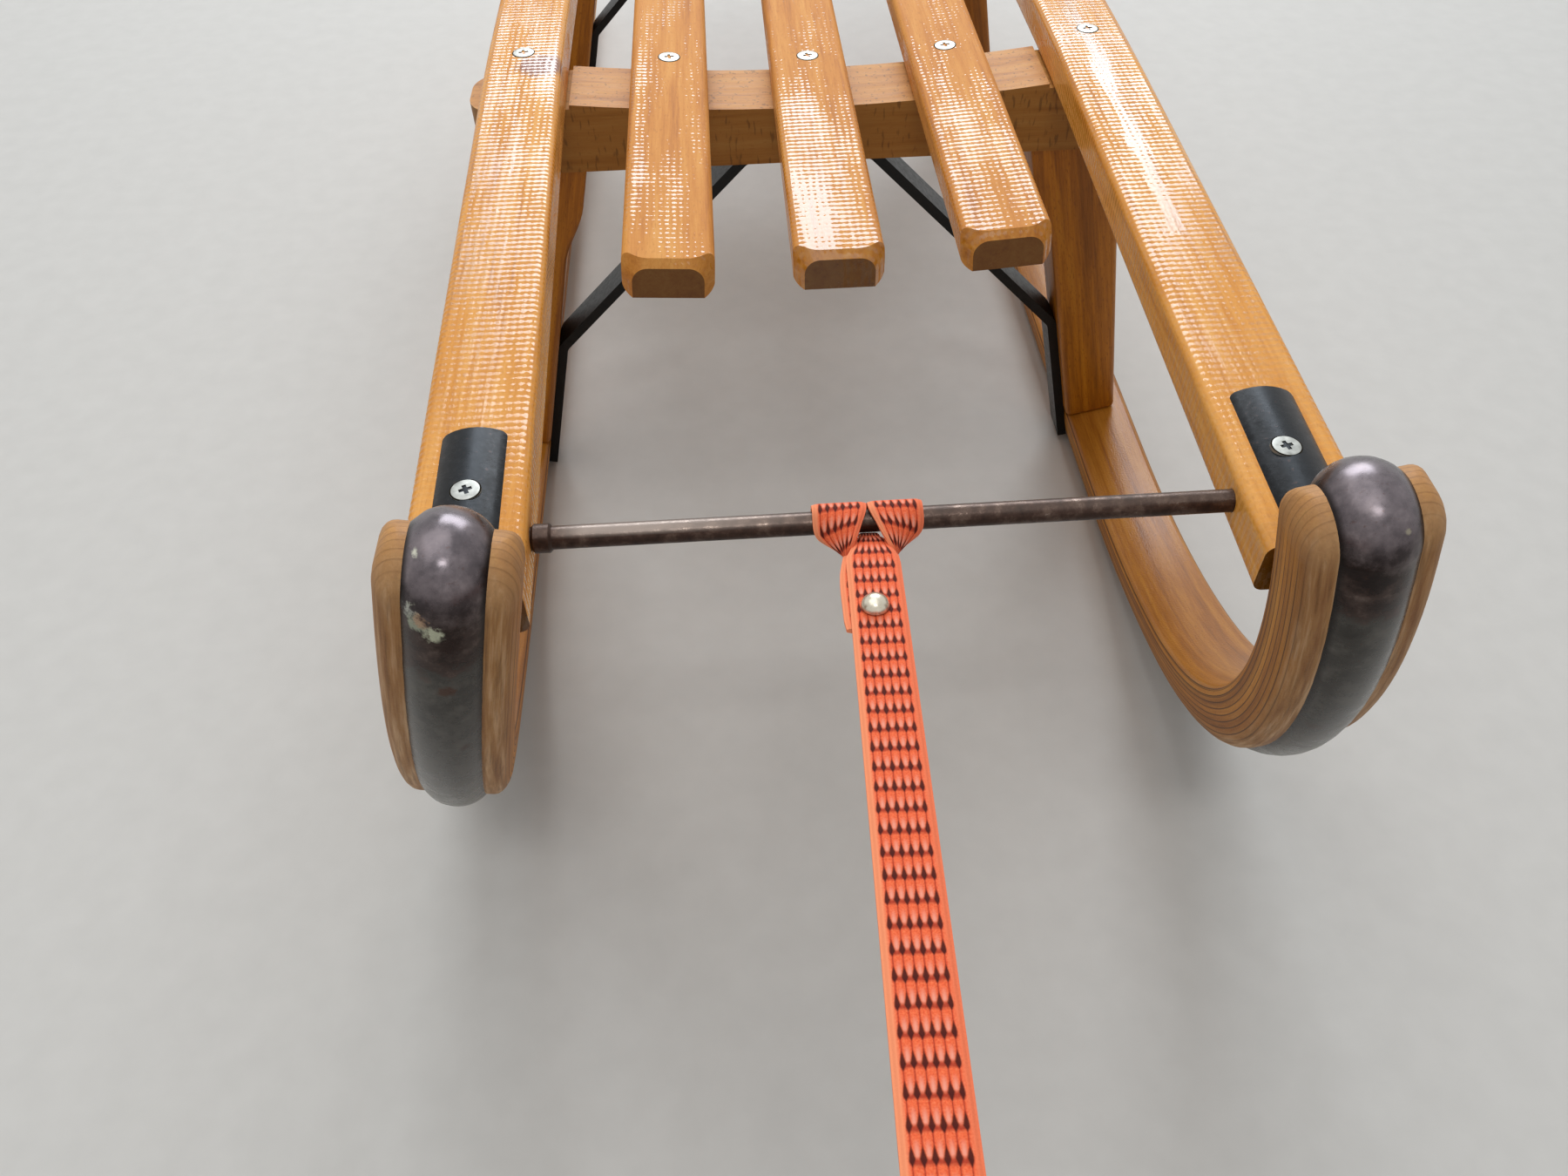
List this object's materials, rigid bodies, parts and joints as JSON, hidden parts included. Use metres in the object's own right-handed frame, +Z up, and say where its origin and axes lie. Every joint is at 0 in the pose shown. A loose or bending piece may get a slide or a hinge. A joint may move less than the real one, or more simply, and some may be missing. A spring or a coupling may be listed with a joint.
{
  "type": "wooden sled",
  "caption": "Wooden toboggan with bent runners, upturned horns, steel running rails, a slatted seat on splayed legs with crossbeams and flat braces, and a webbing pull strap with hand loop",
  "frame": {"origin": "middle of the footprint, on the floor, without the strap", "axes": "front (the horns) towards -Y, rear towards +Y, +X to the rider's left when seated facing the horns, up is +Z"},
  "size_m": [0.385, 1.2701, 0.2896],
  "materials": {
    "varnished_beech": "varnished, worn",
    "running_steel": "burnished, some rust",
    "black_steel": "black, semi-gloss",
    "rod_steel": "rusted dark",
    "webbing": "woven, matte",
    "nickel": "dull nickel"
  },
  "bodies": {
    "root": {"runner_left": "varnished_beech", "runner_right": "varnished_beech", "leg_front_left": "varnished_beech", "leg_front_right": "varnished_beech", "leg_rear_left": "varnished_beech", "leg_rear_right": "varnished_beech", "crossbeam_front": "varnished_beech", "crossbeam_rear": "varnished_beech", "slat_1_outer_left": "varnished_beech", "slat_2_left": "varnished_beech", "slat_3_middle": "varnished_beech", "slat_4_right": "varnished_beech", "slat_5_outer_right": "varnished_beech", "rail_left": "running_steel", "rail_right": "running_steel", "brace_front": "black_steel", "brace_rear": "black_steel", "pull_rod": "rod_steel", "strap_hitch": "webbing", "strap": "webbing", "strap_fold": "webbing", "hand_loop": "webbing", "strap_rivet": "nickel", "hand_loop_rivet": "nickel"}
  },
  "joints": []
}
